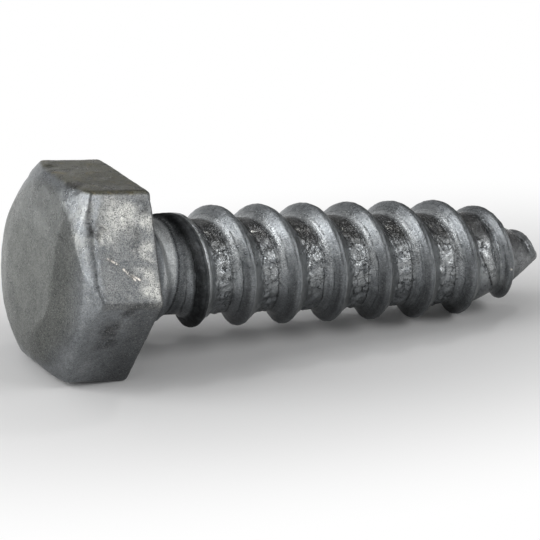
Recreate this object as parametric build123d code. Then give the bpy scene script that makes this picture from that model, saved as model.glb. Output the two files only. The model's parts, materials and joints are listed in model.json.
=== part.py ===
from build123d import *
import os
from math import atan2, ceil, cos, degrees, radians, sin, sqrt, tan

# A galvanised lag screw with a hexagon head, headed and rolled from one length of wire.
# Millimetres. The screw is drawn along X, from the head to the point, and is then tipped
# about the middle of the bearing face, which is the origin, so that it lies as it comes to
# rest: on the edge of one flat of the head and on the last full crest of the thread.

# Head, with heights measured from the bearing face
across_flats = 19.0
head_height = 8.7
corner_round = 0.6          # round along the six upright corners
rim_bevel = 0.2             # where the flats meet the bearing face
flat_height = 6.9           # the flats are plain up to here, and lean in above it
flat_lean = 42.0            # degrees that they lean
flat_round = 1.2            # soft bend between the two
face_radius = 5.9           # flat disc in the middle of the top
crown_angle = 14.0          # slope of the shallow crown round the disc
crown_height = 8.1          # where the crown gives way to the ball that takes the corners off
ball_radius = 17.3

# Shank
length_under_head = 49.2
root_diameter = 9.3
flare_diameter = 10.64      # the shank widens to this where it meets the head
flare_length = 1.3
point_length = 8.6          # the core narrows over this length
nose_length = 3.5           # and faster over the last of it
nose_diameter = 5.4         # core where the nose starts
tip_diameter = 0.9

# Thread, right-handed, with a wider flank towards the point
thread_diameter = 12.0
thread_pitch = 5.15
crest_flat = 0.4
head_flank_angle = 37.0     # from square to the axis
point_flank_angle = 50.0
start_angle = 36.0          # where a crest leaves the bearing face, about the axis from +Y
runout_diameter = 10.6      # the crest is only this high next to the head, and flat
runout_length = 5.6         # as far as here
rise_length = 2.4           # and then grows to its full height over this length
taper_length = 15.0         # the crest falls to the tip over this length
taper_power = 3.0           # and falls faster near the end of it
last_flank_angle = 20.0     # the flank towards the point is steeper at the tip
ridge_sink = 0.4            # depth of the ridge's foot inside the core
ridge_least = 0.15          # height of the ridge where it dies out
ridge_stop = 0.9            # the ridge ends this far short of the tip
sections_per_turn = 12

facets = 6
apothem = across_flats / 2
corner_radius = apothem / cos(radians(180 / facets))
crown_radius = face_radius + (head_height - crown_height) / tan(radians(crown_angle))
root_radius = root_diameter / 2
flare_radius = flare_diameter / 2
nose_radius = nose_diameter / 2
runout_radius = runout_diameter / 2
tip_radius = tip_diameter / 2
thread_radius = thread_diameter / 2
buried = flat_height / 2    # the shank and the thread start this deep in the head


def hexagon(height):
    return Plane.YZ.offset(-height) * RegularPolygon(apothem, facets, major_radius=False)


def head_blank():
    """The hexagon with its flats leaning in near the top, before the corners come off."""
    body = extrude(hexagon(0), -flat_height)
    body += extrude(hexagon(flat_height), flat_height - head_height, taper=flat_lean)
    bends = body.edges().filter_by_position(Axis.X, -flat_height, -flat_height)
    body = fillet(bends, flat_round)
    uprights = [edge for edge in body.edges() if edge.bounding_box().size.X > rim_bevel]
    body = fillet(uprights, corner_round)
    rim = body.edges().group_by(Axis.X)[-1]
    return chamfer(rim, rim_bevel)


def head():
    """The blank with its top turned to a shallow crown and its corners taken off by a ball."""
    crown_edge = head_height - (corner_radius - face_radius) * tan(radians(crown_angle))
    profile = Polygon(
        (0, 0),
        (0, corner_radius),
        (-crown_edge, corner_radius),
        (-head_height, face_radius),
        (-head_height, 0),
        align=None,
    )
    ball_height = crown_height - sqrt(ball_radius**2 - crown_radius**2)
    ball = Pos(-ball_height, 0, 0) * Sphere(ball_radius)
    return head_blank() & revolve(profile, Axis.X) & ball


def shank():
    """The core inside the thread, flared under the head and conical at the point."""
    profile = Polygon(
        (-buried, 0),
        (-buried, root_radius),
        (0, flare_radius),
        (flare_length, root_radius),
        (length_under_head - point_length, root_radius),
        (length_under_head - nose_length, nose_radius),
        (length_under_head, tip_radius),
        (length_under_head, 0),
        align=None,
    )
    return revolve(profile, Axis.X)


def core_radius(x):
    to_tip = length_under_head - x
    if to_tip < nose_length:
        return tip_radius + (nose_radius - tip_radius) * max(to_tip, 0) / nose_length
    past_nose = (to_tip - nose_length) / (point_length - nose_length)
    return nose_radius + (root_radius - nose_radius) * min(past_nose, 1)


def nearness(x):
    """How near the tip, from 0 where the crest starts to fall to 1 at the tip."""
    return max(1 - (length_under_head - x) / taper_length, 0)


def shortfall(x):
    """How much of the crest is missing where the thread runs out under the head."""
    return (thread_radius - runout_radius) * min(max(1 - (x - runout_length) / rise_length, 0), 1)


def crest_radius(x):
    taper = (thread_radius - tip_radius) * nearness(x) ** taper_power
    return thread_radius - shortfall(x) - taper


def ridge_section(turn):
    """The ridge cut along the axis, this many turns after it leaves the bearing face."""
    x = thread_pitch * turn
    foot = max(core_radius(x) - ridge_sink, tip_radius / 2)
    crest = max(crest_radius(x), foot + ridge_least)
    flank_angle = point_flank_angle + (last_flank_angle - point_flank_angle) * nearness(x)
    back_slope, front_slope = tan(radians(head_flank_angle)), tan(radians(flank_angle))
    half_flat = min(crest_flat, crest - foot) / 2
    back = x - half_flat - shortfall(x) * back_slope
    front = x + half_flat + shortfall(x) * front_slope
    back_foot = (back - (crest - foot) * back_slope, foot)
    front_foot = (front + (crest - foot) * front_slope, foot)
    outline = Wire.make_polygon([back_foot, (back, crest), (front, crest), front_foot])
    angle = radians(start_angle + 360 * turn)
    return Plane((0, 0, 0), x_dir=(1, 0, 0), z_dir=(0, -sin(angle), cos(angle))) * outline


def ridge():
    """The ridge in pieces of one turn or less, end to end, from inside the head to the tip."""
    first = -buried / thread_pitch
    last = (length_under_head - ridge_stop) / thread_pitch
    turns = ceil(last - first)
    step = (last - first) / turns / sections_per_turn
    pieces = []
    for index in range(turns):
        start = first + index * sections_per_turn * step
        sections = [ridge_section(start + place * step) for place in range(sections_per_turn + 1)]
        pieces.append(Solid.make_loft(sections))
    return pieces


def rest_tilt():
    """How far the point drops until the first crest meets the ground, in degrees."""
    tilts = []
    turn = (270 - start_angle) / 360
    while thread_pitch * turn < length_under_head:
        x = thread_pitch * turn
        tilts.append(atan2(apothem - crest_radius(x), rim_bevel + x))
        turn += 1
    return degrees(min(tilts))


plain = head() + shank()
screw = plain.fuse(*ridge())
screw = screw.rotate(Axis.Y, rest_tilt())

os.makedirs("parts", exist_ok=True)
export_step(screw, "parts/lag_screw.step")
print("tilt", round(rest_tilt(), 4), "degrees")
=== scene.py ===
import bpy
import json
import numpy as np
from math import pi, radians
from mathutils import Matrix, Vector, noise as softNoise


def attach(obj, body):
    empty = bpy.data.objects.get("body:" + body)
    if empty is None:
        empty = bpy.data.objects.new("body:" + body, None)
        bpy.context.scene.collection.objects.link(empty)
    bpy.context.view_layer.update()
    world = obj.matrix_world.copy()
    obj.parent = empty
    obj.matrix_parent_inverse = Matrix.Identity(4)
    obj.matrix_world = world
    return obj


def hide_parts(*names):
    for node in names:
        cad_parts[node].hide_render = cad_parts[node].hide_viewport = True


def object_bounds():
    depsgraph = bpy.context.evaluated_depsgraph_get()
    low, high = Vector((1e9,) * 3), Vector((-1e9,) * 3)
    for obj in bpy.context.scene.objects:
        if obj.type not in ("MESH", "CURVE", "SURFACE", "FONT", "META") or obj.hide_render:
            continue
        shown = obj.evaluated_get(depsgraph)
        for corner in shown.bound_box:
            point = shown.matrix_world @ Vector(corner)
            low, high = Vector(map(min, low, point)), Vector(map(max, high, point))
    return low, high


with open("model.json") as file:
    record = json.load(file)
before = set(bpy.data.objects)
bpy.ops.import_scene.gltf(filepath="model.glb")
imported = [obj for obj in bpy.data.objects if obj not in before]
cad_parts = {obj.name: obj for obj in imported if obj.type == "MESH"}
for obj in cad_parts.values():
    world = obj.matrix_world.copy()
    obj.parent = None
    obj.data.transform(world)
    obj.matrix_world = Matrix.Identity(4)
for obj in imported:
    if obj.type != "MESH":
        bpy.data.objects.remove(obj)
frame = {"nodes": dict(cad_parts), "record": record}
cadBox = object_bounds()

# The bearing face's mount gives the way that the screw points, and up is square to it
axisWay = Vector(frame["record"]["mounts"][0]["axis"])
topWay = Vector((-axisWay.z, 0, axisWay.x))

# Millimetres. A place in the thread is a share of a turn: 0 on the crest, up to 0.5 before and
# after it in the root, with the flank towards the point on the plus side.
thread = {
    "pitch": 5.15,
    "startAngle": 36,       # where the crest leaves the head, from +Y towards the top
    "full": 6.5,            # the thread has its full height from here
}


# The screw's mesh

shape = {
    "voxel": 0.202,
    "smoothing": 3,
    "swell": (2.5, 0.07),       # size and height of the soft waves in the zinc
    "dents": (4.5, 0.16),
    "grit": (0.8, 0.05),
    "crumple": (0.6, 0.46),
    "crownBlur": 60,            # how far the bend round the face is smoothed away
    "edgeMargin": 0.004,        # the zinc stays this far inside the part's box
}

# A shallow flat pressed on the near side of the face: it starts at this side, turns in below
pressing = {
    "height": -8.66,
    "side": -4.2,
    "slope": 0.20,
    "turnsFrom": -1.5,
    "turnsTo": -7.0,
    "turnIn": 3.6,
}

# A fold in the zinc by the point, which follows the thread's slope
fold = {
    "along": 40.35,
    "slope": 2.9,
    "side": -4.6,
    "raised": 0.20,
    "sunk": 0.18,
}

# Where the roller left a line along the thread: place, half width and height
rolledLines = [
    (-0.230, 0.050, 0.12),
    (-0.310, 0.045, -0.12),
    (0.105, 0.035, -0.05),
]

# The same on the plain stretch under the head, by distance from the bearing face
collarLines = [
    (3.5, 0.8, 0.03),
    (4.15, 0.30, -0.10),
    (4.75, 0.25, 0.05),
    (5.25, 0.22, -0.10),
]

# Knocks on the head: middle, radius and depth
knocks = [
    ((-4.9, -8.75, 4.3), 0.45, 0.10),
    ((-3.0, -9.45, 2.9), 0.50, 0.12),
    ((-0.4, -6.2, 8.4), 0.9, 0.14),
    ((-2.5, -7.8, 5.8), 2.0, 0.12),
    ((-5.5, 3.0, 10.1), 0.8, 0.14),
    ((-6.1, -3.9, 10.0), 0.7, 0.12),
    ((-4.7, -10.0, -0.4), 0.8, 0.10),
    ((-6.4, 6.0, 8.0), 1.0, 0.15),
    ((-3.0, 9.2, 3.2), 1.6, 0.12),
]


def onlyThis(piece):
    bpy.ops.object.select_all(action="DESELECT")
    piece.select_set(True)
    bpy.context.view_layer.objects.active = piece


def applied(piece, kind, **settings):
    modifier = piece.modifiers.new(kind.title(), kind)
    for name, value in settings.items():
        setattr(modifier, name, value)
    onlyThis(piece)
    bpy.ops.object.modifier_apply(modifier=modifier.name)


def vectors(piece, name):
    values = np.empty(len(piece.data.vertices) * 3)
    piece.data.vertices.foreach_get(name, values)
    return values.reshape(-1, 3)


def places(piece):
    # each vertex along the screw, its height over the axis, its distance out and its turn
    points = vectors(piece, "co") * 1000
    along = points @ np.array(axisWay)
    up = points @ np.array(topWay)
    out = np.hypot(points[:, 1], up)
    angle = np.arctan2(up, points[:, 1])
    turn = along / thread["pitch"] - (angle - radians(thread["startAngle"])) / (2 * pi)
    return points, along, up / out, out, turn - np.round(turn)


def paint(piece, name, weights):
    group = piece.vertex_groups.new(name=name)
    steps = np.round(np.clip(weights, 0, 1) * 20).astype(int)
    for step in range(1, 21):
        chosen = np.nonzero(steps == step)[0].tolist()
        if chosen:
            group.add(chosen, step / 20, "REPLACE")
    return group.name


def bell(value, middle, width):
    share = np.clip(1 - np.abs(value - middle) / width, 0, 1)
    return share * share * (3 - 2 * share)


def ramp(value, low, high):
    share = np.clip((value - low) / (high - low), 0, 1)
    return share * share * (3 - 2 * share)


def pushed(piece, distances):
    # moves each vertex along its own normal, in millimetres
    ways = vectors(piece, "normal")
    points = vectors(piece, "co") + ways * distances[:, None] / 1000
    piece.data.vertices.foreach_set("co", points.ravel())
    piece.data.update()


def rough(piece, group, kind, size, height, **settings):
    # pushes the painted part in and out by up to half this height
    texture = bpy.data.textures.new(group + kind.title(), kind)
    texture.noise_scale = size / 1000
    for name, value in settings.items():
        setattr(texture, name, value)
    strength = height / 1000
    applied(piece, "DISPLACE", texture=texture, vertex_group=group, strength=strength, mid_level=0.5)


def wobble(points, size, seed):
    scaled = points / size + seed
    return np.array([softNoise.noise(Vector(point)) for point in scaled])


def pressedFlat(piece):
    # the flat that shows as a dark band between the face and the leaning sides
    points, along, lift, out, turn = places(piece)
    sway = wobble(points, 3.5, 3.0)
    turned = ramp(points[:, 2], pressing["turnsFrom"], pressing["turnsTo"]) * pressing["turnIn"]
    edge = pressing["side"] + sway * 0.3 + turned
    face = pressing["height"] + (edge - points[:, 1]) * pressing["slope"]
    depth = np.where((along < -7.0) & (points[:, 1] < edge), np.maximum(face - along, 0), 0)
    points += depth[:, None] * np.array(axisWay)
    piece.data.vertices.foreach_set("co", (points / 1000).ravel())
    piece.data.update()


def handwork(piece):
    # lines rolled along the thread, the collar's rings, knocks and the fold by the point
    points, along, lift, out, turn = places(piece)
    sway = wobble(points, 2.6, 7.0)
    uneven = 0.65 + 0.7 * wobble(points, 3.4, 19.0)
    threaded = ramp(along, thread["full"] - 1.2, thread["full"]) * ramp(along, 43.5, 40.0)
    low = 1 - ramp(lift, 0.35, 0.75) * 0.8
    distances = np.zeros(len(along))
    for middle, width, height in rolledLines:
        distances += bell(turn + sway * 0.02, middle, width) * height * uneven * threaded * low
    under = ramp(along, 0.6, 1.4) * ramp(out, 5.5, 5.2)
    for middle, width, height in collarLines:
        distances += bell(along + sway * 0.25, middle, width) * height * uneven * under * (1 - threaded)
    for middle, radius, depth in knocks:
        away = np.linalg.norm(points - np.array(middle), axis=1) * (1 + sway * 0.5)
        distances -= bell(away, 0, radius) * depth
    past = along - (fold["along"] - lift * fold["slope"] + sway * 0.2)
    front = ramp(past, -0.12, 0.12) * ramp(past, 2.2, 0.8)
    facing = bell(points[:, 1], fold["side"], 1.8) * ramp(lift, -0.65, -0.4) * ramp(lift, 0.6, 0.3)
    distances += (front * fold["raised"] - bell(past, 0, 0.35) * fold["sunk"]) * facing
    pushed(piece, distances)


def keptInBox(piece):
    # the zinc never stands out of the part's own box
    low, high = np.array(cadBox[0]), np.array(cadBox[1])
    margin = shape["edgeMargin"] / 1000
    points = np.clip(vectors(piece, "co"), low + margin, high - margin)
    piece.data.vertices.foreach_set("co", points.ravel())
    piece.data.update()


def makeScrew():
    blank = frame["nodes"]["lag_screw"]
    piece = bpy.data.objects.new("dippedScrew", blank.data.copy())
    bpy.context.scene.collection.objects.link(piece)
    onlyThis(piece)
    bpy.ops.object.mode_set(mode="EDIT")
    bpy.ops.mesh.select_all(action="SELECT")
    bpy.ops.mesh.remove_doubles(threshold=0.000001)
    bpy.ops.object.mode_set(mode="OBJECT")
    bpy.ops.mesh.customdata_custom_splitnormals_clear()
    applied(piece, "REMESH", mode="VOXEL", voxel_size=shape["voxel"] / 1000)
    applied(piece, "SMOOTH", factor=0.5, iterations=shape["smoothing"])
    points, along, lift, out, turn = places(piece)
    paint(piece, "crown", bell(out, 6.0, 2.4) * 2 * ramp(along, -7.4, -7.9))
    applied(piece, "SMOOTH", factor=0.5, iterations=shape["crownBlur"], vertex_group="crown")
    pressedFlat(piece)
    handwork(piece)
    print("lines, knocks and fold made")
    points, along, lift, out, turn = places(piece)
    root = bell(turn % 1, 0.43, 0.31) ** 0.6 * ramp(along, 6.5, 8.0) * ramp(along, 41.5, 37)
    paint(piece, "roots", root * ramp(out, 5.6, 5.0) * (0.3 + 0.7 * ramp(lift, 0.9, 0.65)))
    paint(piece, "head", ramp(along, 0.1, -0.2))
    paint(piece, "all", np.ones(len(along)))
    rough(piece, "all", "CLOUDS", *shape["swell"], noise_depth=1)
    rough(piece, "all", "CLOUDS", *shape["grit"], noise_depth=1)
    rough(piece, "head", "CLOUDS", *shape["dents"], noise_depth=1)
    rough(piece, "roots", "STUCCI", *shape["crumple"], turbulence=6)
    keptInBox(piece)
    onlyThis(piece)
    bpy.ops.object.shade_smooth()
    print("screw", len(piece.data.polygons), "faces")
    return piece


# Shader maths written as Python

class Flow:
    def __init__(self, tree, socket):
        self.tree = tree
        self.socket = socket

    def node(self, kind, settings, values, result=0):
        made = self.tree.nodes.new(kind)
        for name, value in settings.items():
            setattr(made, name, value)
        for name, value in values.items():
            if isinstance(value, Flow):
                self.tree.links.new(value.socket, made.inputs[name])
            else:
                made.inputs[name].default_value = value
        return Flow(self.tree, made.outputs[result])

    def maths(self, operation, first, second=0.0):
        return self.node("ShaderNodeMath", {"operation": operation}, {0: first, 1: second})

    def __add__(self, other):
        return self.maths("ADD", self, other)

    def __radd__(self, other):
        return self.maths("ADD", other, self)

    def __sub__(self, other):
        return self.maths("SUBTRACT", self, other)

    def __rsub__(self, other):
        return self.maths("SUBTRACT", other, self)

    def __mul__(self, other):
        return self.maths("MULTIPLY", self, other)

    def __rmul__(self, other):
        return self.maths("MULTIPLY", other, self)

    def __truediv__(self, other):
        return self.maths("DIVIDE", self, other)

    def __pow__(self, other):
        return self.maths("POWER", self, other)

    def __abs__(self):
        return self.maths("ABSOLUTE", self)


def fade(value, low, high):
    # 0 below low and 1 above high, or the other way round where low is the larger
    values = {"Value": value, "From Min": low, "From Max": high}
    return value.node("ShaderNodeMapRange", {"interpolation_type": "SMOOTHSTEP"}, values)


def band(value, middle, width):
    return fade(abs(value - middle), width, 0)


def mixed(share, first, second, blend="MIX"):
    settings = {"data_type": "RGBA", "blend_type": blend}
    return share.node("ShaderNodeMix", settings, {"Factor": share, "A": first, "B": second}, 2)


def darkened(share, colour, strength):
    # darkens the colour to this strength where the share is 1
    return mixed(share, colour, (strength, strength, strength, 1), "MULTIPLY")


def noise(place, scale, detail=3, roughness=0.55, warp=0.0):
    values = {"Vector": place, "Scale": scale, "Detail": detail, "Roughness": roughness}
    return place.node("ShaderNodeTexNoise", {}, {**values, "Distortion": warp})


def cells(place, scale, feature="F1"):
    return place.node("ShaderNodeTexVoronoi", {"feature": feature}, {"Vector": place, "Scale": scale})


def vectorMaths(place, operation, first, second, result=0):
    return place.node("ShaderNodeVectorMath", {"operation": operation}, {0: first, 1: second}, result)


def newMaterial(name):
    material = bpy.data.materials.new(name)
    material.use_nodes = True
    tree = material.node_tree
    tree.nodes.clear()
    place = Flow(tree, tree.nodes.new("ShaderNodeTexCoord").outputs["Object"])
    return material, tree, place


def finish(tree, surface):
    output = tree.nodes.new("ShaderNodeOutputMaterial")
    tree.links.new(surface.socket, output.inputs["Surface"])


# Zinc

zinc = {
    "dark": (0.165, 0.177, 0.189, 1),
    "middle": (0.323, 0.342, 0.357, 1),
    "bright": (0.568, 0.586, 0.588, 1),
    "faceDark": (0.115, 0.122, 0.115, 1),
    "face": (0.226, 0.235, 0.216, 1),
    "flatDark": (0.10, 0.107, 0.113, 1),
    "flat": (0.27, 0.275, 0.27, 1),
    "oliveDark": (0.10, 0.10, 0.09, 1),
    "olive": (0.20, 0.195, 0.138, 1),
    "stain": (0.27, 0.22, 0.11, 1),
    "sootAndShadow": (0.035, 0.035, 0.037, 1),
    "shine": (0.53, 0.53, 0.50, 1),
    "rootDark": (0.10, 0.10, 0.102, 1),
    "brown": (0.098, 0.094, 0.088, 1),
    "nib": (0.19, 0.196, 0.2, 1),
    "scratchAndGlint": (0.80, 0.76, 0.70, 1),
    "scratchAndGlintWidth": 0.17,
    "metallic": 0.95,
    "roughness": 0.30,
    "bumpDistance": 0.001,
}

# Bright patches on the head, partly worn zinc and partly painted sheen, and black smudges,
# one of them a painted shadow under the near flat's lower edge: middle and radius. Then the
# scratches on the near flat and the painted glint by the point: both ends.
wearAndSheen = [
    ((-2.85, -6.65, 7.8), 1.7),
    ((-0.35, -7.1, 6.8), 0.8),
    ((-0.85, -8.3, 4.75), 0.8),
    ((-1.25, -9.5, 2.7), 0.9),
    ((-0.8, -10.3, 1.25), 1.2),
    ((-5.0, -7.4, 6.4), 1.0),
    ((-6.9, -7.4, 5.7), 0.9),
    ((-6.4, -5.9, 8.4), 1.1),
    ((-3.0, 8.8, 4.0), 1.4),
]
smudgesAndShadow = [
    # a painted shadow under the near flat's lower edge
    ((-3.6, -10.45, -0.55), 0.9),
    ((-4.7, -9.3, -2.4), 1.3),
    ((-4.95, -8.4, -4.1), 1.2),
    ((-6.0, -2.9, 10.1), 0.9),
    ((-5.5, -7.3, 6.6), 0.8),
    ((-4.0, 6.5, -7.0), 1.6),
]
scratchesAndGlint = [
    ((-5.0, -8.7, 4.45), (-4.05, -8.95, 3.85)),
    ((-3.6, -9.2, 3.4), (-2.1, -9.75, 2.35)),
    ((-3.3, -9.35, 3.1), (-2.6, -9.75, 2.4)),
    # a painted glint by the point, drawn like the scratches
    ((42.7, -4.72, -3.85), (43.0, -4.80, -3.98)),
]


def nearest(place, spots, growth=1.0):
    # 1 in the middle of any of these spots and 0 beyond its radius
    share = None
    for middle, radius in spots:
        spot = fade(vectorMaths(place, "DISTANCE", place, middle, 1), radius * growth, radius * 0.2)
        share = spot if share is None else share.maths("MAXIMUM", share, spot)
    return share


def stroke(place, start, end, width):
    # 1 along the straight line between these ends
    start, end = Vector(start), Vector(end)
    run = end - start
    offset = vectorMaths(place, "SUBTRACT", place, start)
    share = vectorMaths(place, "DOT_PRODUCT", offset, run / run.length_squared, 1)
    share = place.node("ShaderNodeMath", {"operation": "MULTIPLY", "use_clamp": True}, {0: share, 1: 1.0})
    nearby = place.node("ShaderNodeVectorMath", {"operation": "SCALE"}, {0: run, "Scale": share})
    return fade(vectorMaths(place, "DISTANCE", offset, nearby, 1), width, width * 0.3)


def makeZinc():
    material, tree, metres = newMaterial("galvanisedSteel")
    place = metres.node("ShaderNodeVectorMath", {"operation": "SCALE"}, {0: metres, "Scale": 1000})

    def toward(way):
        return vectorMaths(place, "DOT_PRODUCT", place, way, 1)

    def vector(x, y, z):
        return place.node("ShaderNodeCombineXYZ", {}, {0: x, 1: y, 2: z})

    def lightened(share, colour):
        return mixed(share, colour, zinc["bright"])

    # Where on the screw: millimetres along it, to the side and up, and the place in the thread
    along, side, up = toward(tuple(axisWay)), toward((0, 1, 0)), toward(tuple(topWay))
    out = (side * side + up * up) ** 0.5
    lift = up / out
    angle = place.maths("ARCTAN2", up, side)
    turn = along / thread["pitch"] - (angle - radians(thread["startAngle"])) / (2 * pi)

    # Noises from coarse to fine
    cloud = noise(place, 0.35, 4, 0.6, 0.4)
    mottle = noise(place, 1.5, 5, 0.65, 0.3)
    grain = noise(place, 4.5, 4, 0.7)
    fleck = noise(place, 9.0, 2, 0.6)
    sway = noise(place, 0.6, 2) - 0.5

    # Seamless rolling lines: the turn goes round a circle in the noise
    phase = turn * (2 * pi)
    circleX, circleY = place.maths("COSINE", phase) * 4.5, place.maths("SINE", phase) * 4.5
    ring = vector(circleX, circleY, along * 0.35)
    lines = noise(ring, 1.0, 3, 0.6)
    fineLines = noise(ring, 2.4, 2, 0.6) * fade(along, 20, 32)
    turn = place.node("ShaderNodeMath", {"operation": "WRAP"}, {0: turn + sway * 0.05, 1: 0.5, 2: -0.5})

    onHead = fade(along, 0.15, -0.15)
    onShank = 1 - onHead
    threaded = fade(along, thread["full"] - 1.6, thread["full"] - 0.6)
    root = fade(abs(turn), 0.24, 0.34) * fade(out, 5.4, 4.9) * threaded

    tone = cloud * 0.4 + mottle * 0.38 + grain * 0.22
    base = mixed(fade(tone, 0.25, 0.62), zinc["dark"], zinc["middle"])
    base = lightened(fade(tone, 0.5, 0.8), base)

    # The head's face, its pressed side and its flats
    onFace = onHead * fade(along, -7.6, -8.3)
    pressed = side + sway * 0.6 - fade(up, pressing["turnsFrom"], pressing["turnsTo"]) * pressing["turnIn"]
    crown = onHead * fade(along, -7.5, -7.9) * fade(pressed, -4.0, -4.5) * fade(up + sway, 7.8, 6.0)
    nearSide = onHead * fade(up * 0.5 - side * 0.866, 8.9, 9.3)
    bendAt = along + fade(up, 6.5, 9.0) * -0.9 + (mottle - 0.5) * 1.0 + sway * 0.8
    brightFlat = nearSide * fade(bendAt, -6.5, -5.9)
    topFlat = onHead * fade(up + sway * 0.15, 9.1, 9.46)
    lowFlat = onHead * fade(up * -0.5 - side * 0.866, 9.15, 9.42)

    faceTone = fade(grain * 0.35 + fleck * 0.35 + cloud * 0.3, 0.4, 0.6)
    base = mixed(onFace * 0.85, base, mixed(faceTone, zinc["faceDark"], zinc["face"]))
    # the face lighter towards the top: painted light
    base = lightened(onFace * fade(up, 2.5, 7.5) * 0.35, base)
    flatTone = fade(mottle * 0.45 + cloud * 0.3 + fleck * 0.25, 0.32, 0.66)
    base = mixed(brightFlat * 0.8, base, mixed(flatTone, zinc["flatDark"], zinc["flat"]))
    bend = nearSide * band(bendAt, -6.2, 0.36) * fade(grain * 0.6 + fleck * 0.4, 0.44, 0.58)
    base = darkened(bend * 0.55, base, 0.4)
    # the lower flats darker, most towards the bearing face: painted shade
    base = darkened(lowFlat * (0.25 + 0.75 * fade(along + sway * 3, -5.0, -1.5)) * 0.87, base, 0.45)
    # the bend round the face darker: painted shade for its dark reflection
    base = darkened(crown * 0.6, base, 0.5)

    # Bright patches (worn zinc and painted sheen), stains, and smudges (dirt and one painted shadow), with
    # their edges blown about
    drift = place.node("ShaderNodeTexNoise", {}, {"Vector": place, "Scale": 0.7, "Detail": 3.0}, 1)
    drift = {0: drift, 1: (3, 3, 3), 2: (-1.5, -1.5, -1.5)}
    drift = place.node("ShaderNodeVectorMath", {"operation": "MULTIPLY_ADD"}, drift)
    blown = vectorMaths(place, "ADD", place, drift)
    # bright patches: partly worn zinc, partly painted sheen
    patch = nearest(blown, wearAndSheen, 1.7) * (0.35 + 0.65 * fade(mottle * 0.5 + fleck * 0.5, 0.36, 0.6))
    base = mixed(patch * (0.9 - (1 - brightFlat) * 0.45), base, zinc["shine"])
    base = darkened(brightFlat * fade(fleck * 0.5 + grain * 0.5, 0.46, 0.40) * 0.45, base, 0.5)
    base = mixed(brightFlat * fade(fleck * 0.6 + grain * 0.4, 0.44, 0.36) * 0.5, base, zinc["dark"])
    oliveTone = mixed(fade(tone, 0.38, 0.6), zinc["oliveDark"], zinc["olive"])
    # the top flat olive and darker: partly the zinc's own olive tone, partly painted shade
    base = mixed(topFlat * 0.95, base, darkened(topFlat, oliveTone, 0.85))
    base = mixed(topFlat * fade(noise(place, 0.7, 3, 0.6, 0.8), 0.56, 0.68) * 0.6, base, zinc["stain"])
    # black smudges of dirt, and one painted shadow under the near flat's edge
    smudgeAndShadow = nearest(blown, smudgesAndShadow, 1.5) * fade(mottle * 0.6 + fleck * 0.4, 0.36, 0.5)
    base = mixed(smudgeAndShadow * 0.85, base, zinc["sootAndShadow"])
    base = darkened(onHead * fade(fleck * 0.6 + grain * 0.4, 0.50, 0.40) * 0.55, base, 0.55)
    base = mixed(onHead * fade(noise(place, 7.5, 2, 0.6), 0.55, 0.66) * 0.3, base, zinc["shine"])

    # The thread's flanks and crest: a painted highlight band at the foot, painted light and shade on the
    # flanks and crests, thin lines, and a painted highlight on the upper flanks near the head
    foot = band(turn, -0.22, 0.10) * threaded * fade(along, 44, 41)
    footTone = fade(mottle * 0.5 + fleck * 0.5, 0.36, 0.56)
    # the foot band lighter on the upper side: painted highlight
    base = lightened(foot * fade(lift, -0.2, 0.4) * footTone * 0.5, base)
    groove = band(turn, -0.315, 0.024) * threaded
    faint = band(turn, -0.165, 0.013) * threaded * fade(cloud, 0.42, 0.56) * 0.6
    groove = groove.maths("MAXIMUM", groove, faint)
    # the tip-facing flanks lighter: painted light
    base = lightened(fade(turn, 0.03, 0.06) * fade(turn, 0.30, 0.2) * threaded * 0.35, base)
    base = darkened(groove * fade(mottle, 0.35, 0.55) * 0.9, base, 0.3)
    ridges = (band(turn, 0.035, 0.016) + band(turn, 0.085, 0.016)) * threaded * fade(mottle, 0.36, 0.5)
    base = lightened(ridges * 0.3, base)
    crest = band(turn, 0.0, 0.05) * threaded
    # the crest darker all round: painted shade over its highlight
    base = darkened(crest * 0.6, base, 0.55)
    # the lower part of the head-facing flank darker: painted shade
    base = darkened(band(turn, -0.09, 0.09) * threaded * fade(lift, 0.5, 0.1) * 0.8, base, 0.52)
    # a painted highlight on the upper flanks near the head
    upperFlankHighlight = band(turn, -0.13, 0.09) * band(lift, 0.6, 0.35) * threaded * fade(along, 19.0, 13.0)
    base = lightened(upperFlankHighlight * fade(mottle * 0.5 + fleck * 0.5, 0.38, 0.54) * 0.55, base)
    # the thread darker along its top: painted shade
    base = darkened(fade(abs(turn), 0.2, 0.1) * threaded * fade(lift, 0.8, 0.95) * 0.35, base, 0.6)
    base = darkened(band(turn, 0.06, 0.013) * threaded * 0.6, base, 0.4)
    base = darkened(onShank * fade(lines, 0.5, 0.34) * 0.25, base, 0.5)
    fine = onShank * fade(fineLines, 0.52, 0.4) * fade(along, 20, 32)
    base = darkened(fine * (1 - root) * 0.5, base, 0.45)

    # The roots: cracked zinc, with painted shade on top and small painted glints
    warped = vectorMaths(place, "ADD", place, vector(mottle, grain, cloud))
    crack = fade(cells(warped, 1.3, "DISTANCE_TO_EDGE"), 0.055, 0.0)
    crack = crack * fade(noise(place, 0.5, 2), 0.45, 0.58) * root
    base = darkened(crack * 0.95, base, 0.15)
    base = lightened(root * fade(lift, -0.5, 0.0) * fade(mottle, 0.36, 0.56) * 0.5, base)
    # the root tops darker: painted shade
    rootTop = mixed(fade(cloud, 0.4, 0.6), zinc["rootDark"], zinc["brown"])
    base = mixed(root * fade(lift, 0.5, 0.85) * 0.85, base, rootTop)
    # small painted glints high in the roots on the near side
    glint = band(lift, 0.887, 0.03) * band(turn, 0.42, 0.09) * fade(side, 0.0, -1.0)
    glint = glint * threaded * fade(along, 40.0, 36.0)
    base = mixed(glint * 0.9, base, zinc["shine"])

    # The nib and the fold beside it
    nib = fade(along, 43.2, 44.2)
    base = mixed(nib * 0.75, base, zinc["nib"])
    past = along + lift * fold["slope"] + sway * 0.5 - fold["along"]
    near = fade(abs(side + 4.5), 2.0, 0.8) * fade(abs(lift + 0.05), 0.55, 0.35)
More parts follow.
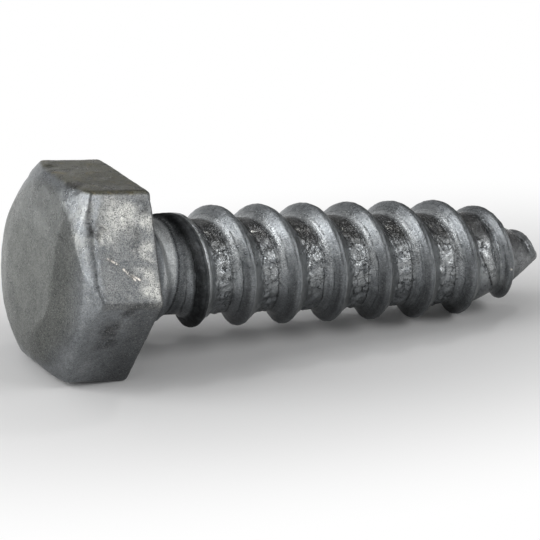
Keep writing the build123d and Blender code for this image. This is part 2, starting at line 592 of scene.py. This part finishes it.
    # the raised lip beside the fold lighter: painted light
    base = lightened(near * fade(past, 0.0, 0.15) * fade(past, 2.6, 1.0) * 0.5, base)
    # the fold's crease darker: painted shade
    base = darkened(near * band(past, 0.0, 0.16) * 0.85, base, 0.2)

    # The first flank darkened as a painted shadow from the head, and the plain stretch under the head
    paintedFlankShadow = onShank * fade(along, 3.4, 5.2) * fade(along, 9.0, 7.8)
    paintedFlankShadow = paintedFlankShadow * fade(turn, -0.23, -0.16) * fade(turn, 0.08, 0.05)
    # the first head-facing flank near black: painted shadow of the head
    base = darkened(paintedFlankShadow * (0.7 + 0.3 * fade(mottle, 0.35, 0.55)), base, 0.24)
    collar = onShank * fade(along, 6.2, 5.2)
    shadow = collar * (fade(along, 2.9, 2.2) + fade(along, 4.4, 4.7))
    # the collar darker on top: painted shade
    base = darkened(collar * fade(lift, 0.6, 0.9) * 0.8, base, 0.35)
    base = darkened(shadow * 0.55, base, 0.45)
    base = darkened(collar * band(along + sway * 0.3, 4.65, 0.2) * 0.8, base, 0.25)
    # a lighter band round the collar on its upper sides: painted highlight
    ringed = collar * fade(abs(along - 3.55), 0.95, 0.7) * fade(abs(lift - 0.45), 0.7, 0.35)
    base = lightened(ringed * (0.55 + 0.4 * fade(fleck, 0.4, 0.6)), base)

    # Specks all over, painted shade below, bright scratches and a painted glint by the point
    speck = fade(noise(place, 6.0, 3, 0.7), 0.52, 0.38)
    base = darkened(speck * 0.35, base, 0.55)
    shankGrain = fleck * 0.7 + grain * 0.3
    base = darkened(onShank * fade(shankGrain, 0.50, 0.42) * 0.4, base, 0.6)
    base = lightened(onShank * fade(shankGrain, 0.55, 0.64) * (1 - paintedFlankShadow) * 0.25, base)
    # the lower side darker: painted shade
    under = fade(lift, 0.25, -0.65) * (1 - onFace) * (1 - onHead * 0.4)
    base = darkened(under * 0.8, base, 0.45)
    scratchGlintMask = None
    # the scratches, and a painted glint by the point
    for start, end in scratchesAndGlint:
        made = stroke(place, start, end, zinc["scratchAndGlintWidth"])
        scratchGlintMask = made if scratchGlintMask is None else scratchGlintMask.maths("MAXIMUM", scratchGlintMask, made)
    base = mixed(scratchGlintMask * fade(grain, 0.42, 0.54), base, zinc["scratchAndGlint"])

    # Relief in millimetres
    pits = fade(cells(place, 1.7), 0.16, 0.05) * fade(mottle, 0.45, 0.55)
    height = (mottle * 0.05 + grain * 0.03) * (1 - 0.7 * onShank) * (1 - nib) - pits * 0.03
    height = height + fleck * (0.016 + onShank * 0.014) * (1 - paintedFlankShadow * 0.7)
    height = height + onShank * (lines * 0.012 + fineLines * 0.02) - groove * 0.04 - crack * 0.12
    height = height + root * noise(warped, 1.6, 3, 0.6) * 0.08 + scratchGlintMask * 0.03
    relief = {"Height": height, "Strength": 1.0, "Distance": zinc["bumpDistance"]}
    bump = place.node("ShaderNodeBump", {}, relief)

    roughness = zinc["roughness"] + (mottle - 0.5) * 0.25 + (cloud - 0.5) * 0.2
    roughness = roughness - foot * 0.06 + under * 0.1 + brightFlat * (0.10 - patch * 0.12)
    roughness = roughness + paintedFlankShadow * 0.25 + shadow * 0.15 + collar * 0.22 + crest * 0.12
    roughness = roughness - root * 0.06 - glint * 0.15
    surface = {"Base Color": base, "Metallic": zinc["metallic"], "Roughness": roughness, "Normal": bump}
    finish(tree, place.node("ShaderNodeBsdfPrincipled", {}, surface))
    print("zinc made")
    return material


# Floor, lamps and camera

paperFloor = {
    "size": 3.0,
    "paper": (0.8, 0.8, 0.8, 1),
    "shadow": 0.010,        # the shadow shows up to here, in metres round the screw
    "white": 0.045,         # and the floor is white from here
}


def makeFloor():
    bpy.ops.mesh.primitive_plane_add(size=paperFloor["size"], location=(0, 0, cadBox[0][2]))
    floor = bpy.context.active_object
    floor.name = "paleFloor"
    material, tree, place = newMaterial("palePaper")
    rays = tree.nodes.new("ShaderNodeLightPath")
    seen = Flow(tree, rays.outputs["Is Camera Ray"])
    for ray in ("Is Glossy Ray", "Is Transmission Ray"):
        seen = place.maths("MAXIMUM", seen, Flow(tree, rays.outputs[ray]))
    oval = {0: place, 1: (0.5, 1, 1), 2: (-0.01, 0, 0)}
    oval = place.node("ShaderNodeVectorMath", {"operation": "MULTIPLY_ADD"}, oval)
    away = place.node("ShaderNodeVectorMath", {"operation": "LENGTH"}, {0: oval}, 1)
    white = seen * fade(away, paperFloor["shadow"], paperFloor["white"])
    paper = place.node("ShaderNodeBsdfDiffuse", {}, {"Color": paperFloor["paper"]})
    glow = place.node("ShaderNodeEmission", {}, {"Color": (1, 1, 1, 1), "Strength": 1.0})
    surface = place.node("ShaderNodeMixShader", {}, {0: white, 1: paper, 2: glow})
    finish(tree, surface)
    floor.data.materials.append(material)


studioGrey = (0.10, 0.10, 0.10, 1)

# Way from the screw, distance, width and power
lamps = {
    "key": ((0.58, -0.60, 0.54), 0.6, 0.38, 1.25),
    "left": ((-0.84, 0.08, 0.53), 0.6, 0.46, 2.25),
    "fill": ((-0.60, -0.60, 0.5), 0.6, 0.30, 0.4),
    "top": ((-0.22, 0.2, 0.95), 0.6, 0.5, 0.4),
    "glint": ((0.56, 0.28, 0.78), 0.6, 0.07, 0.25),
    "back": ((0.04, 0.95, 0.3), 0.8, 0.9, 1.05),
}


def makeLamps():
    for name, (way, distance, width, power) in lamps.items():
        data = bpy.data.lights.new(name, "AREA")
        data.shape = "DISK"
        data.size = width
        data.energy = power
        lamp = bpy.data.objects.new(name, data)
        bpy.context.scene.collection.objects.link(lamp)
        way = Vector(way).normalized()
        lamp.location = way * distance
        lamp.rotation_euler = way.to_track_quat("Z", "Y").to_euler()
    world = bpy.data.worlds.new("studio")
    world.use_nodes = True
    world.node_tree.nodes["Background"].inputs["Color"].default_value = studioGrey
    bpy.context.scene.world = world


cameraWay = {
    "right": (0.87563809, -0.48067943, 0.04695979),
    "up": (0.11917655, 0.30927259, 0.94347624),
    "back": (-0.46803300, -0.82054723, 0.32809658),
    "place": (-0.12852750, -0.25572675, 0.09994373),
    "lens": 209.41,
}


def makeCamera():
    data = bpy.data.cameras.new("photoCamera")
    data.sensor_width = 36
    data.lens = cameraWay["lens"]
    data.clip_start = 0.01
    camera = bpy.data.objects.new("photoCamera", data)
    bpy.context.scene.collection.objects.link(camera)
    turned = Matrix((cameraWay["right"], cameraWay["up"], cameraWay["back"])).transposed()
    camera.matrix_world = Matrix.Translation(cameraWay["place"]) @ turned.to_4x4()
    bpy.context.scene.camera = camera


screw = makeScrew()
screw.data.materials.clear()
screw.data.materials.append(makeZinc())
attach(screw, "root")
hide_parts("lag_screw")
makeFloor()
makeLamps()
makeCamera()
bpy.context.scene.view_settings.view_transform = "Standard"
print("scene ready")
